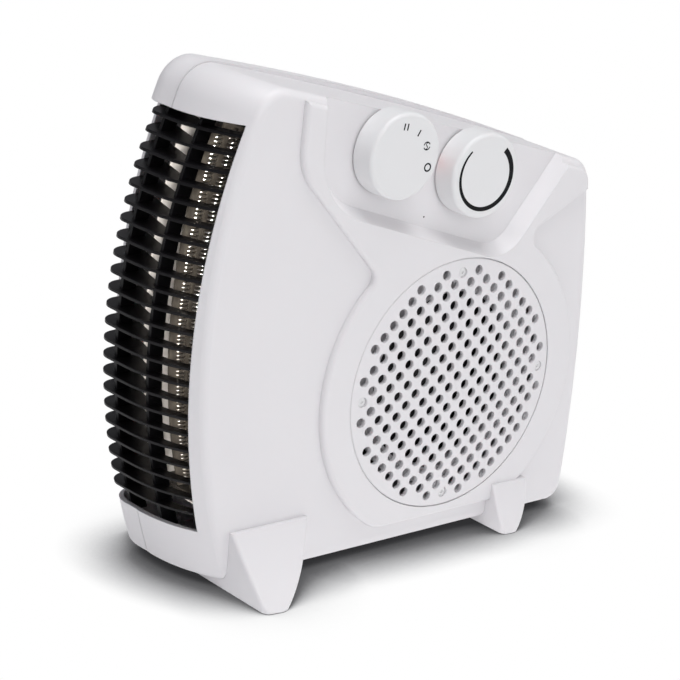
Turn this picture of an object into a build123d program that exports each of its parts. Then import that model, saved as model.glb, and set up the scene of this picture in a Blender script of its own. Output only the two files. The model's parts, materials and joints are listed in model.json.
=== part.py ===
"""Upright fan convector heater: two casing shells, slatted outlet, side intake, blower and heating element.

Frame, in millimetres: X runs across the thin body, towards the control side. Y runs from the
outlet grille (-Y) to the back (+Y). Z is up, and the feet stand on Z = 0.
"""
from build123d import *
import os
from math import cos, radians, sin, sqrt

# ---------------------------------------------------------------- driving dimensions
HOLE_PITCH = 9.6           # spacing of the intake holes, which sets the scale of the face
WALL = 2.5                 # casing wall
SEAM_X = -10.0             # where the deep control shell meets the shallow back shell
HALF_THICKNESS = 33.0      # middle plane to the raised intake face, and to the far side
BARREL_X = 30.0            # the lower side face next to the outlet
BODY_BOTTOM = 3.4          # underside of the casing above the floor
BODY_BACK = 117.6          # rearmost point of the bulged back
NOSE_RADIUS = 300.5        # side-view radius of the front
NOSE_Y, NOSE_Z = 183.4, 107.5
TOP_HEIGHT = 202.2         # height of the sloping top line where Y = 0
TOP_SLOPE = 0.281          # fall of the top line towards the back
NOSE_ROLL = 67.4           # plan radius of the front towards the control side
FAR_CORNER = 14.0          # plan radius of the front's far corner
FAR_CORNER_X = -20.0
CONTROL_EDGE, BACK_EDGE, PLATEAU_EDGE = 4.5, 3.0, 2.2    # rounding of the flat faces' edges

INTAKE_Y, INTAKE_Z = 33.7, 76.8
GUARD_RADIUS = 6.15 * HOLE_PITCH
PLATEAU_RADIUS = 7.75 * HOLE_PITCH
PLATEAU_BOTTOM = 13.0      # where the raised area stops above the rounded bottom edge
PLATEAU_BOTTOM_CORNER = 16.0
PLATEAU_MARGIN = 3.0       # how far inside the casing's outline the raised area stops
GUARD_RIVET_RADIUS = 5.5 * HOLE_PITCH
GUARD_DOME = 3.4           # how far the middle of the guard stands out
GUARD_SEAT = 1.6           # depth of the guard's seat in the casing
GUARD_THICKNESS = 2.0

RECESS_X = 25.4            # floor of the control recess
RECESS_FLARE = 30.0        # slope of the recess walls, in degrees
KNOB_RADIUS = 19.6
KNOB_FRONT = 37.9
KNOB_BACK = RECESS_X + 0.9
SELECTOR_Y, SELECTOR_Z = -10.0, 188.7
THERMOSTAT_Y, THERMOSTAT_Z = 37.9, 174.9
SHAFT_RADIUS = 3.0
NECK_RADIUS = 5.0
NECK_END = RECESS_X + 3.4
SHAFT_START, SHAFT_END = 8.2, 35.2
SHAFT_FLAT = 2.0
TAB_LENGTH = 6.0
KNOB_HUB_RADIUS = 5.6
RUNNING_CLEARANCE = 0.05   # radial, where a shaft turns in its hole

OUTLET_BOTTOM, OUTLET_TOP = 27.4, 207.4
OUTLET_FAR_X = -31.2
OUTLET_NEAR_TOP_X, OUTLET_NEAR_BOTTOM_X = 26.6, 22.6
SLAT_COUNT = 23
SLAT_PITCH = 7.56
TOP_SLAT_Z = 202.2
SLAT_THICKNESS = 1.2
SLAT_DEPTH = 16.0
SLAT_RADIUS = 262.0        # the slats follow a slightly rounder arc than the casing
SLAT_CENTRE_Z = 104.0
SLAT_CENTRE_Y = NOSE_Y - NOSE_RADIUS + SLAT_RADIUS - 0.5
SLAT_END_X = -31.0

SCREW_RADIUS = 1.5
POST_RADIUS = 3.6
CASING_SCREWS = [(-65, 17), (-25, 17), (103, 20), (103, 92), (103, 150), (-70, 214)]

WHEEL_RADIUS = 45.0
SHAFT_CORE = 2.0
SCROLL_NEAR_X, SCROLL_FAR_X = 22.5, -5.0

BACK_TOP_Y = BODY_BACK - 7.3      # y of the back's upper end
BACK_BOTTOM_Y = BODY_BACK - 2.9   # y of the back's lower end
BACK_BULGE_Z = 68.0
SEAM_GAP = 0.5                    # width and depth of the shadow line between the shells
SEAM_DEPTH = 0.4
FAR_EDGE_RADIUS = 290.0           # where the far wall stops short behind the slats

SCREW_HEAD_DEPTH = 4.0
CABLE_Y, CABLE_Z = 97.0, 34.0
CABLE_RADIUS = 3.2
GROMMET_RADIUS = 5.6
VENT_RINGS, VENT_RING_STEP, VENT_HOLE_RADIUS = 4, 7.0, 1.8
HOLE_FIELD_RADIUS = 5.65 * HOLE_PITCH
GUARD_HOLE_RADIUS = 2.25
RIVET_HEAD, RIVET_SHANK, RIVET_DIMPLE = 2.2, 1.1, 0.8
RIVET_HEAD_HEIGHT, RIVET_LENGTH = 0.9, 5.5
SLAT_CORNER = 9.0                # plan radius of each slat's far end
RIB_XS = (-19.5, 2.5)
RIB_WIDTH, RIB_DEPTH = 1.8, 7.0
RIB_SETBACK = 3.0                 # rib front behind the slats' front edges

SCROLL_WALL = 1.6
SCROLL_START_ANGLE, SCROLL_START_RADIUS, SCROLL_GROWTH = 215, 48.0, 14.0
DUCT_FRONT_Y = -52.3
INLET_RADIUS = 42.0
BLADE_COUNT = 32
STACK_NEAR_X, STACK_FAR_X, MOTOR_FAR_X = -9.0, -24.0, -29.6
ROTOR_RADIUS, STATOR_BORE = 12.0, 12.4
BUSH_RADIUS = 4.5

SHIELD_FAR_X, SHIELD_NEAR_X = -27.0, 24.4
SHIELD_BOTTOM, SHIELD_TOP = 30.0, 205.0
SHIELD_BACK_Y = -53.3
SHIELD_WALL = 0.8
SHIELD_FRONT_RADIUS = 279.0
CARD_XS = (-5.0, 6.0, 17.0)     # planes of the element's upright boards
CARD_FRONT_RADIUS, CARD_BACK_Y = 275.0, -59.3
STRIP_X, STRIP_Y, STRIP_WIDTH = 5.0, -56.3, 18.0    # upright strip that carries the cut-out and the fuse
BOARD = 1.2
COIL_TURNS = 40
CUTOUT_Z, FUSE_Z = 114.0, 98.0
MOTOR_SCREW_OFFSET = 19.0
MOTOR_SCREWS = [(-MOTOR_SCREW_OFFSET, 0), (MOTOR_SCREW_OFFSET, 0)]
WHEEL_WIDTH = 21.0
STATOR_WIDTH, STATOR_HEIGHT, STATOR_CENTRE = 48.0, 58.0, 13.0
WINDOW_WIDTH, WINDOW_HEIGHT, WINDOW_CENTRE = 28.0, 14.0, 25.0
LIMB_CENTRE, LIMB_HEIGHT = 37.0, 10.0
COIL_WIDTH = 24.0
BRACKET_LIFT, BRACKET_THICKNESS = 1.8, 2.0
FOOT_HEAD_DEPTH = 2.0
FOOT_SCREW_LENGTH = 9.5
COIL_WIRE = 0.8

# (x, rise of the top's middle above the straight line between its corners)
CONTROL_STATIONS = [(SEAM_X, 2.3), (2, 1.9), (14, 1.3), (24, 0.7), (BARREL_X, 0.3)]
CONTROL_HOLLOW_STATIONS = [(SEAM_X, 2.3), (2, 1.9), (14, 1.3), (BARREL_X - WALL, 0.5)]
BACK_STATIONS = [(SEAM_X, 4.5), (-20, 4.4), (-25, 4.0), (-29, 3.0), (-HALF_THICKNESS, 1.0)]
BACK_HOLLOW_STATIONS = [(SEAM_X, 4.5), (-20, 4.4), (-25, 4.0), (WALL - HALF_THICKNESS, 3.0)]

RECESS_CORNERS = [(-46.5, 240), (-46.5, 171.8), (58.6, 136.3), (143.1, 240)]
PLATEAU_V = [(1.7, 115.5), (-62.3, 186), (-60.3, 240), (136.7, 240), (126.7, 168), (56.7, 133.8)]
INTAKE_HOLE_RADIUS = GUARD_RADIUS - 3.5

LAMP_Y, LAMP_Z = (SELECTOR_Y + THERMOSTAT_Y) / 2, (SELECTOR_Z + THERMOSTAT_Z) / 2
LAMP_RADIUS = 3.2

# Each foot's tooth in side view: floor front, top front, top rear, a point on the rear curve, floor rear.
FRONT_TOOTH = [(-85.6, 0), (-85.6, 27.2), (-43.8, 26.8), (-58.1, 9.6), (-71.5, 0)]
REAR_TOOTH = [(65.0, 0), (59.5, 21.6), (86.5, 20.8), (82.7, 9.6), (74.7, 0)]
FOOT_SCREW_YS = (-78.3, 69.8)
FOOT_EDGE = 1.5                   # rounding of the flared faces' edges
CONTROL_FOOT_SCREW_X, BACK_FOOT_SCREW_X = 12.0, -21.0
FOOT_POST_HEIGHT = 10.0

NOSE_AXIS = Axis((0, NOSE_Y, NOSE_Z), (1, 0, 0))
NOSE_PLANE = Plane(origin=(0, NOSE_Y, NOSE_Z), x_dir=(1, 0, 0), z_dir=(0, 0, -1))
INTAKE_AXIS = Axis((0, INTAKE_Y, INTAKE_Z), (1, 0, 0))
INTAKE_PLANE = Plane(origin=(0, INTAKE_Y, INTAKE_Z), x_dir=(1, 0, 0), z_dir=(0, -1, 0))

os.makedirs("parts", exist_ok=True)


def side_plane(x, y=0.0, z=0.0):
    """A sketch plane facing the control side, its own axes along Y and Z, centred on (y, z)."""
    return Plane(origin=(x, y, z), x_dir=(0, 1, 0), z_dir=(1, 0, 0))


# ---------------------------------------------------------------- the casing's outer form
def nose_drop(x):
    """How far the front falls back from its foremost line at the given x."""
    if x >= SEAM_X:
        return NOSE_ROLL - sqrt(NOSE_ROLL**2 - (x - SEAM_X) ** 2)
    if x <= FAR_CORNER_X:
        return FAR_CORNER - sqrt(FAR_CORNER**2 - (x - FAR_CORNER_X) ** 2)
    return 0.0


def nose_y(radius, z):
    """The y of a point at height z on a circle about the nose axis."""
    return NOSE_Y - sqrt(radius**2 - (z - NOSE_Z) ** 2)


def top_front_corner(radius, height):
    """Where a top line of the given height at y = 0 meets a round front, as (y, z)."""
    a = 1 + TOP_SLOPE**2
    b = NOSE_Y + TOP_SLOPE * (height - NOSE_Z)
    c = NOSE_Y**2 + (height - NOSE_Z) ** 2 - radius**2
    y = (b - sqrt(b**2 - a * c)) / a
    return (y, height - TOP_SLOPE * y)


def side_outline(drop, crown, inset=0.0):
    """Side profile of the casing: round front, arched sloping top, bulged back, flat bottom.

    drop sets the front back, crown lifts the middle of the top, inset shrinks the whole outline.
    """
    radius = NOSE_RADIUS - drop - inset
    height = TOP_HEIGHT - inset * sqrt(1 + TOP_SLOPE**2)
    bottom = BODY_BOTTOM + inset
    top_front = top_front_corner(radius, height)
    top_back = (BACK_TOP_Y - inset, height - TOP_SLOPE * (BACK_TOP_Y - inset))
    top_middle = ((top_front[0] + top_back[0]) / 2, (top_front[1] + top_back[1]) / 2 + crown)
    bottom_back = (BACK_BOTTOM_Y - inset, bottom)
    bottom_front = (nose_y(radius, bottom), bottom)
    corner_radii = ((top_front, 16), (bottom_front, 7), (top_back, 11), (bottom_back, 9))
    with BuildSketch() as outline:
        with BuildLine():
            ThreePointArc(bottom_front, (NOSE_Y - radius, NOSE_Z), top_front)
            ThreePointArc(top_front, top_middle, top_back)
            ThreePointArc(top_back, (BODY_BACK - inset, BACK_BULGE_Z), bottom_back)
            Line(bottom_back, bottom_front)
        make_face()
        for corner, radius_there in corner_radii:
            fillet(outline.vertices().sort_by_distance(corner)[0], radius_there - inset)
    return outline.sketch


def casing_form(stations, inset=0.0):
    """Closed form lofted through the side outlines at each (x, crown) station."""
    with BuildPart() as form:
        for x, crown in stations:
            with BuildSketch(side_plane(x)):
                add(side_outline(nose_drop(x), crown, inset))
        loft()
    return form.part


def recess_region(grow=0.0):
    """Outline of the control recess, open towards the top of the casing."""
    with BuildSketch() as region:
        with BuildLine():
            Polyline(*RECESS_CORNERS, close=True)
        make_face()
        for corner, radius in ((RECESS_CORNERS[1], 29), (RECESS_CORNERS[2], 15)):
            fillet(region.vertices().sort_by_distance(corner)[0], radius)
        if grow:
            offset(amount=grow)
    return region.sketch


def plateau_region():
    """Hourglass outline of the raised area: a round about the intake, opening into a V above it."""
    centre = (INTAKE_Y, INTAKE_Z)
    with BuildSketch() as region:
        with BuildLine():
            Polyline(*PLATEAU_V, close=True)
        make_face()
        fillet(region.vertices().sort_by_distance(PLATEAU_V[1])[0], 25)
        with Locations(centre):
            Circle(PLATEAU_RADIUS)
        waist = region.vertices().filter_by(
            lambda v: abs(sqrt((v.X - INTAKE_Y) ** 2 + (v.Y - INTAKE_Z) ** 2) - PLATEAU_RADIUS) < 0.01
            and v.Y > INTAKE_Z + 10
        )
        fillet(waist, 6)
        with Locations((INTAKE_Y, PLATEAU_BOTTOM)):
            Rectangle(
                3 * PLATEAU_RADIUS, PLATEAU_RADIUS, align=(Align.CENTER, Align.MAX), mode=Mode.SUBTRACT
            )
        fillet(region.vertices().group_by(Axis.Y)[0], PLATEAU_BOTTOM_CORNER)
        outer_edge = side_outline(nose_drop(BARREL_X), CONTROL_STATIONS[-1][1], PLATEAU_MARGIN)
        add(outer_edge, mode=Mode.INTERSECT)
    return region.sketch


def screw_body(length, radius=SCREW_RADIUS, head_radius=3.0, head_height=1.9):
    """A pan-head screw along -Z: head from z = 0 up, shank down, with a cross recess."""
    with BuildPart() as screw:
        with BuildSketch():
            Circle(head_radius)
        extrude(amount=head_height)
        fillet(screw.edges().sort_by(Axis.Z)[-1], 0.7)
        with BuildSketch():
            Circle(radius)
        extrude(amount=-length)
        chamfer(screw.edges().sort_by(Axis.Z)[0], 0.5)
        with BuildSketch(Plane.XY.offset(head_height)):
            Rectangle(head_radius * 1.1, 0.7)
            Rectangle(0.7, head_radius * 1.1)
        extrude(amount=-1.1, mode=Mode.SUBTRACT)
    return screw.part


def outlet_cutter():
    """The block taken out of the front for the grille, its control-side edge leaning inwards."""
    front = Plane(origin=(0, -60, 0), x_dir=(1, 0, 0), z_dir=(0, -1, 0))
    with BuildPart() as cutter:
        with BuildSketch(front):
            with BuildLine():
                Polyline(
                    (OUTLET_FAR_X, OUTLET_BOTTOM),
                    (OUTLET_NEAR_BOTTOM_X, OUTLET_BOTTOM),
                    (OUTLET_NEAR_TOP_X, OUTLET_TOP),
                    (OUTLET_FAR_X, OUTLET_TOP),
                    close=True,
                )
            make_face()
        extrude(amount=80)
    return cutter.part


def far_corner_cutter():
    """What the outlet takes off the far corner, in front of a radius about the nose axis."""
    with BuildPart() as cutter:
        with BuildSketch(NOSE_PLANE):
            with Locations((OUTLET_FAR_X - 5, FAR_EDGE_RADIUS)):
                Rectangle(12, 30, align=(Align.CENTER, Align.MIN))
        revolve(axis=NOSE_AXIS, revolution_arc=360)
        with BuildSketch(side_plane(-50)):
            with Locations((-110, (OUTLET_BOTTOM + OUTLET_TOP) / 2)):
                Rectangle(80, OUTLET_TOP - OUTLET_BOTTOM)
        extrude(amount=60, mode=Mode.INTERSECT)
    return cutter.part


def seam_groove():
    """A shallow band around the casing on either side of the seam."""
    with BuildPart() as groove:
        with BuildSketch(side_plane(SEAM_X - SEAM_GAP / 2)):
            with Locations((0, 120)):
                Rectangle(300, 300)
            add(side_outline(0, CONTROL_STATIONS[0][1], SEAM_DEPTH), mode=Mode.SUBTRACT)
        extrude(amount=SEAM_GAP)
    return groove.part


# ---------------------------------------------------------------- control-side shell
outlet = outlet_cutter()
far_corner = far_corner_cutter()
control_form = casing_form(CONTROL_STATIONS)
control_hollow = casing_form(CONTROL_HOLLOW_STATIONS, WALL)

with BuildPart() as plateau:
    with BuildSketch(side_plane(BARREL_X - 10)):
        add(plateau_region())
    extrude(amount=HALF_THICKNESS - BARREL_X + 10)
    fillet(plateau.faces().sort_by(Axis.X)[-1].edges(), PLATEAU_EDGE)

with BuildPart() as control_shell:
    add(control_form)
    fillet(control_shell.faces().sort_by(Axis.X)[-1].edges(), CONTROL_EDGE)
    add(plateau.part)
    add(control_hollow, mode=Mode.SUBTRACT)
    with BuildSketch(side_plane(RECESS_X - WALL)):
        add(recess_region(WALL))
        add(side_outline(nose_drop(BARREL_X), CONTROL_STATIONS[-1][1], 1.0), mode=Mode.INTERSECT)
    extrude(amount=BARREL_X - RECESS_X)
    with BuildSketch(side_plane(RECESS_X)):
        add(recess_region())
    extrude(amount=14, taper=-RECESS_FLARE, mode=Mode.SUBTRACT)
    with BuildSketch(side_plane(BARREL_X - 8, INTAKE_Y, INTAKE_Z)):
        Circle(INTAKE_HOLE_RADIUS)
    extrude(amount=20, mode=Mode.SUBTRACT)
    with BuildSketch(side_plane(BARREL_X - WALL - 1, INTAKE_Y, INTAKE_Z)):
        with PolarLocations(GUARD_RIVET_RADIUS + 1, 4):
            SlotOverall(14, 9)
    extrude(amount=HALF_THICKNESS - GUARD_SEAT - BARREL_X + WALL + 1)
    with BuildSketch(side_plane(HALF_THICKNESS - GUARD_SEAT, INTAKE_Y, INTAKE_Z)):
        Circle(GUARD_RADIUS + 0.25)
    extrude(amount=10, mode=Mode.SUBTRACT)
    with BuildSketch(side_plane(0, INTAKE_Y, INTAKE_Z)):
        with PolarLocations(GUARD_RIVET_RADIUS, 4):
            Circle(1.15)
    extrude(amount=HALF_THICKNESS, mode=Mode.SUBTRACT)
    add(outlet, mode=Mode.SUBTRACT)
    with BuildSketch(side_plane(0)):
        with Locations((SELECTOR_Y, SELECTOR_Z), (THERMOSTAT_Y, THERMOSTAT_Z)):
            Circle(NECK_RADIUS + 0.2)
        with Locations((LAMP_Y, LAMP_Z)):
            Circle(LAMP_RADIUS + 0.1)
    extrude(amount=HALF_THICKNESS, mode=Mode.SUBTRACT)
    with BuildSketch(side_plane(SEAM_X)):
        with Locations(*CASING_SCREWS):
            Circle(POST_RADIUS)
    extrude(amount=BARREL_X - 1 - SEAM_X)
    with BuildSketch(side_plane(SEAM_X)):
        with Locations(*CASING_SCREWS):
            Circle(SCREW_RADIUS + RUNNING_CLEARANCE)
    extrude(amount=20, mode=Mode.SUBTRACT)
    with BuildSketch(Plane.XY.offset(BODY_BOTTOM + 1)):
        with Locations(*[(CONTROL_FOOT_SCREW_X, y) for y in FOOT_SCREW_YS]):
            Circle(POST_RADIUS)
    extrude(amount=FOOT_POST_HEIGHT)
    with BuildSketch(Plane.XY):
        with Locations(*[(CONTROL_FOOT_SCREW_X, y) for y in FOOT_SCREW_YS]):
            Circle(SCREW_RADIUS + RUNNING_CLEARANCE)
    extrude(amount=BODY_BOTTOM + FOOT_POST_HEIGHT - 1, mode=Mode.SUBTRACT)
    add(seam_groove(), mode=Mode.SUBTRACT)
control_shell.part.label = "control_shell"
export_step(control_shell.part, "parts/control_shell.step")

# ---------------------------------------------------------------- far-side shell
back_form = casing_form(BACK_STATIONS)
back_hollow = casing_form(BACK_HOLLOW_STATIONS, WALL)

with BuildPart() as back_shell:
    add(back_form)
    fillet(back_shell.faces().sort_by(Axis.X)[0].edges(), BACK_EDGE)
    add(back_hollow, mode=Mode.SUBTRACT)
    add(outlet, mode=Mode.SUBTRACT)
    add(far_corner, mode=Mode.SUBTRACT)
    with BuildSketch(side_plane(1 - HALF_THICKNESS)):
        with Locations(*CASING_SCREWS):
            Circle(POST_RADIUS + 1)
    extrude(amount=SEAM_X + HALF_THICKNESS - 1)
    with BuildSketch(side_plane(-HALF_THICKNESS)):
        with Locations(*CASING_SCREWS):
            Circle(SCREW_RADIUS + 0.2)
        with Locations((CABLE_Y, CABLE_Z)):
            Circle(GROMMET_RADIUS)
    extrude(amount=HALF_THICKNESS, mode=Mode.SUBTRACT)
    with BuildSketch(side_plane(-HALF_THICKNESS)):
        with Locations(*CASING_SCREWS):
            Circle(3.4)
    extrude(amount=SCREW_HEAD_DEPTH, mode=Mode.SUBTRACT)
    with BuildSketch(side_plane(-HALF_THICKNESS, INTAKE_Y, INTAKE_Z)):
        for ring in range(1, VENT_RINGS + 1):
            with PolarLocations(ring * VENT_RING_STEP, 6 * ring):
                Circle(VENT_HOLE_RADIUS)
    extrude(amount=WALL + 1, mode=Mode.SUBTRACT)
    with BuildSketch(Plane.XY.offset(BODY_BOTTOM + 1)):
        with Locations(*[(BACK_FOOT_SCREW_X, y) for y in FOOT_SCREW_YS]):
            Circle(POST_RADIUS)
    extrude(amount=FOOT_POST_HEIGHT)
    with BuildSketch(Plane.XY):
        with Locations(*[(BACK_FOOT_SCREW_X, y) for y in FOOT_SCREW_YS]):
            Circle(SCREW_RADIUS + RUNNING_CLEARANCE)
    extrude(amount=BODY_BOTTOM + FOOT_POST_HEIGHT - 1, mode=Mode.SUBTRACT)
    add(seam_groove(), mode=Mode.SUBTRACT)
back_shell.part.label = "back_shell"
export_step(back_shell.part, "parts/back_shell.step")

casing_screw = screw_body(SEAM_X + HALF_THICKNESS - SCREW_HEAD_DEPTH + 12)
with BuildPart() as casing_screws:
    with Locations(*[side_plane(SCREW_HEAD_DEPTH - HALF_THICKNESS, y, z) for y, z in CASING_SCREWS]):
        add(casing_screw, rotation=(180, 0, 0))
casing_screws.part.label = "casing_screws"
export_step(casing_screws.part, "parts/casing_screws.step")

# ---------------------------------------------------------------- intake guard
guard_rim_x = HALF_THICKNESS - GUARD_SEAT
guard_face_x = HALF_THICKNESS
guard_apex_x = guard_face_x + GUARD_DOME
rivet_seat_x = guard_face_x - 1.0
dome_radius = GUARD_RADIUS - 0.5
dome_curve = (dome_radius**2 + GUARD_DOME**2) / (2 * GUARD_DOME)
lip_rise = guard_apex_x - GUARD_THICKNESS - guard_rim_x
lip_radius = GUARD_RADIUS - 4.6
lip_curve = (lip_radius**2 + lip_rise**2) / (2 * lip_rise)
hole_grids = [GridLocations(HOLE_PITCH, HOLE_PITCH, 12, 11), GridLocations(HOLE_PITCH, HOLE_PITCH, 11, 12)]
rivet_places = [spot.position for spot in PolarLocations(GUARD_RIVET_RADIUS, 4)]
hole_places = [
    spot.position
    for grid in hole_grids
    for spot in grid
    if spot.position.length < HOLE_FIELD_RADIUS
    and all((spot.position - rivet).length > 1 for rivet in rivet_places)
]

with BuildPart() as intake_guard:
    with BuildSketch(INTAKE_PLANE):
        with BuildLine():
            Line((guard_apex_x - GUARD_THICKNESS, 0), (guard_apex_x, 0))
            RadiusArc((guard_apex_x, 0), (guard_face_x, dome_radius), -dome_curve)
            Polyline(
                (guard_face_x, dome_radius),
                (guard_face_x - 0.5, GUARD_RADIUS),
                (guard_rim_x, GUARD_RADIUS),
                (guard_rim_x, lip_radius),
            )
            RadiusArc((guard_rim_x, lip_radius), (guard_apex_x - GUARD_THICKNESS, 0), lip_curve)
        make_face()
    revolve(axis=INTAKE_AXIS, revolution_arc=360)
    with BuildSketch(side_plane(guard_rim_x - 5, INTAKE_Y, INTAKE_Z)):
        with Locations(*hole_places):
            Circle(GUARD_HOLE_RADIUS)
        with PolarLocations(GUARD_RIVET_RADIUS, 4):
            Circle(1.4)
    extrude(amount=20, mode=Mode.SUBTRACT)
    with BuildSketch(side_plane(rivet_seat_x, INTAKE_Y, INTAKE_Z)):
        with PolarLocations(GUARD_RIVET_RADIUS, 4):
            Circle(RIVET_HEAD + 0.1)
    extrude(amount=5, mode=Mode.SUBTRACT)
intake_guard.part.label = "intake_guard"
export_step(intake_guard.part, "parts/intake_guard.step")

with BuildPart() as guard_rivets:
    with BuildSketch(side_plane(rivet_seat_x, INTAKE_Y, INTAKE_Z)):
        with PolarLocations(GUARD_RIVET_RADIUS, 4):
            Circle(RIVET_HEAD)
    extrude(amount=RIVET_HEAD_HEIGHT)
    fillet(guard_rivets.edges().group_by(Axis.X)[-1], 0.35)
    with BuildSketch(side_plane(rivet_seat_x - RIVET_LENGTH, INTAKE_Y, INTAKE_Z)):
        with PolarLocations(GUARD_RIVET_RADIUS, 4):
            Circle(RIVET_SHANK)
    extrude(amount=RIVET_LENGTH)
    with BuildSketch(side_plane(rivet_seat_x + RIVET_HEAD_HEIGHT, INTAKE_Y, INTAKE_Z)):
        with PolarLocations(GUARD_RIVET_RADIUS, 4):
            Circle(RIVET_DIMPLE)
    extrude(amount=-0.5, mode=Mode.SUBTRACT)
guard_rivets.part.label = "guard_rivets"
export_step(guard_rivets.part, "parts/guard_rivets.step")

# ---------------------------------------------------------------- outlet grille
slat_axis = Axis((0, SLAT_CENTRE_Y, SLAT_CENTRE_Z), (1, 0, 0))
slat_plane = Plane(origin=(0, SLAT_CENTRE_Y, SLAT_CENTRE_Z), x_dir=(1, 0, 0), z_dir=(0, 0, -1))
slat_inner = SLAT_RADIUS - SLAT_DEPTH
slat_near = (OUTLET_NEAR_TOP_X + 0.6, SLAT_RADIUS - nose_drop(OUTLET_NEAR_TOP_X + 0.6) - 0.7)
slat_middle = (6, SLAT_RADIUS - nose_drop(6) - 0.3)
slat_corner_x = SLAT_END_X + SLAT_CORNER

with BuildPart() as grille_ribs:
    with BuildSketch(slat_plane):
        for rib_x in RIB_XS:
            front = SLAT_RADIUS - nose_drop(rib_x + RIB_WIDTH / 2) - RIB_SETBACK
            with Locations((rib_x, front)):
                Rectangle(RIB_WIDTH, RIB_DEPTH, align=(Align.CENTER, Align.MAX))
    revolve(axis=slat_axis, revolution_arc=360)
    with BuildSketch(side_plane(-50)):
        with Locations((-100, (OUTLET_BOTTOM + OUTLET_TOP) / 2)):
            Rectangle(80, OUTLET_TOP - OUTLET_BOTTOM + 8)
    extrude(amount=100, mode=Mode.INTERSECT)

with BuildPart() as outlet_grille:
    with BuildSketch(slat_plane):
        with BuildLine():
            ThreePointArc(slat_near, slat_middle, (slat_corner_x, SLAT_RADIUS))
            JernArc((slat_corner_x, SLAT_RADIUS), (-1, 0), SLAT_CORNER, 90)
            Polyline(
                (SLAT_END_X, SLAT_RADIUS - SLAT_CORNER),
                (SLAT_END_X, slat_inner),
                (slat_near[0], slat_inner),
                slat_near,
            )
        make_face()
    revolve(axis=slat_axis, revolution_arc=360)
    with BuildSketch(Plane(origin=(0, -70, 0), x_dir=(1, 0, 0), z_dir=(0, -1, 0))):
        for index in range(SLAT_COUNT):
            slat_z = TOP_SLAT_Z - index * SLAT_PITCH
            lean = (slat_z - OUTLET_BOTTOM) / (OUTLET_TOP - OUTLET_BOTTOM)
            near_x = OUTLET_NEAR_BOTTOM_X + lean * (OUTLET_NEAR_TOP_X - OUTLET_NEAR_BOTTOM_X) - 0.3
            with Locations((near_x, slat_z)):
                Rectangle(near_x - SLAT_END_X + 2, SLAT_THICKNESS, align=(Align.MAX, Align.CENTER))
    extrude(amount=60, mode=Mode.INTERSECT)
    add(grille_ribs.part)
outlet_grille.part.label = "outlet_grille"
export_step(outlet_grille.part, "parts/outlet_grille.step")

# ---------------------------------------------------------------- controls
def control_body(body_back, size, size_centre, axis):
    """A switch body behind the recess floor, with a threaded neck and a blind bore for its shaft."""
    with BuildPart() as body:
        with BuildSketch(side_plane(body_back, *size_centre)):
            RectangleRounded(*size, 2)
        extrude(amount=RECESS_X - WALL - 0.1 - body_back)
        with BuildSketch(side_plane(body_back + 1, *axis)):
            Circle(NECK_RADIUS)
        extrude(amount=NECK_END - body_back - 1)
        with BuildSketch(side_plane(SHAFT_START - 0.2, *axis)):
            Circle(SHAFT_RADIUS + RUNNING_CLEARANCE)
        extrude(amount=RECESS_X, mode=Mode.SUBTRACT)
        for side in (-1, 1):
            for row in (-1, 1):
                tab = (size_centre[0] + side * size[0] * 0.3, size_centre[1] + row * size[1] * 0.25)
                with BuildSketch(side_plane(body_back, *tab)):
                    Rectangle(0.8, 4.8)
                extrude(amount=-TAB_LENGTH)
    return body.part


def control_shaft(axis):
    """A shaft with a flat where the knob grips it."""
    with BuildPart() as shaft:
        with BuildSketch(side_plane(SHAFT_START, *axis)):
            Circle(SHAFT_RADIUS)
        extrude(amount=SHAFT_END - SHAFT_START)
        with BuildSketch(side_plane(NECK_END + 0.4, *axis)):
            with Locations((0, SHAFT_FLAT)):
                Rectangle(8, 4, align=(Align.CENTER, Align.MIN))
        extrude(amount=10, mode=Mode.SUBTRACT)
    return shaft.part


def knob(axis):
    """A hollow knob: softly rounded face, straight skirt, and a hub with a D bore for the shaft."""
    with BuildPart() as body:
        with BuildSketch(side_plane(KNOB_BACK, *axis)):
            Circle(KNOB_RADIUS)
        extrude(amount=KNOB_FRONT - KNOB_BACK, taper=1.5)
        fillet(body.edges().sort_by(Axis.X)[-1], 1.8)
        with BuildSketch(side_plane(KNOB_BACK, *axis)):
            Circle(KNOB_RADIUS - 2.2)
        extrude(amount=KNOB_FRONT - KNOB_BACK - 2, mode=Mode.SUBTRACT)
        with BuildSketch(side_plane(NECK_END + 0.4, *axis)):
            Circle(KNOB_HUB_RADIUS)
        extrude(amount=KNOB_FRONT - NECK_END - 1.4)
        with BuildSketch(side_plane(NECK_END, *axis)):
            Circle(SHAFT_RADIUS + 0.02)
            with Locations((0, SHAFT_FLAT + 0.02)):
                Rectangle(8, 4, align=(Align.CENTER, Align.MIN), mode=Mode.SUBTRACT)
        extrude(amount=SHAFT_END + 0.2 - NECK_END, mode=Mode.SUBTRACT)
    return body.part


selector_axis = (SELECTOR_Y, SELECTOR_Z)
thermostat_axis = (THERMOSTAT_Y, THERMOSTAT_Z)

with BuildPart() as selector_switch:
    add(control_body(4.0, (30, 22), (SELECTOR_Y, SELECTOR_Z - 2.7), selector_axis))
selector_switch.part.label = "selector_switch"
export_step(selector_switch.part, "parts/selector_switch.step")

with BuildPart() as thermostat:
    add(control_body(6.0, (25, 19), (THERMOSTAT_Y - 1, THERMOSTAT_Z - 2), thermostat_axis))
thermostat.part.label = "thermostat"
export_step(thermostat.part, "parts/thermostat.step")

with BuildPart() as selector_shaft:
    add(control_shaft(selector_axis))
selector_shaft.part.label = "selector_shaft"
export_step(selector_shaft.part, "parts/selector_shaft.step")

with BuildPart() as thermostat_shaft:
    add(control_shaft(thermostat_axis))
thermostat_shaft.part.label = "thermostat_shaft"
export_step(thermostat_shaft.part, "parts/thermostat_shaft.step")

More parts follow.
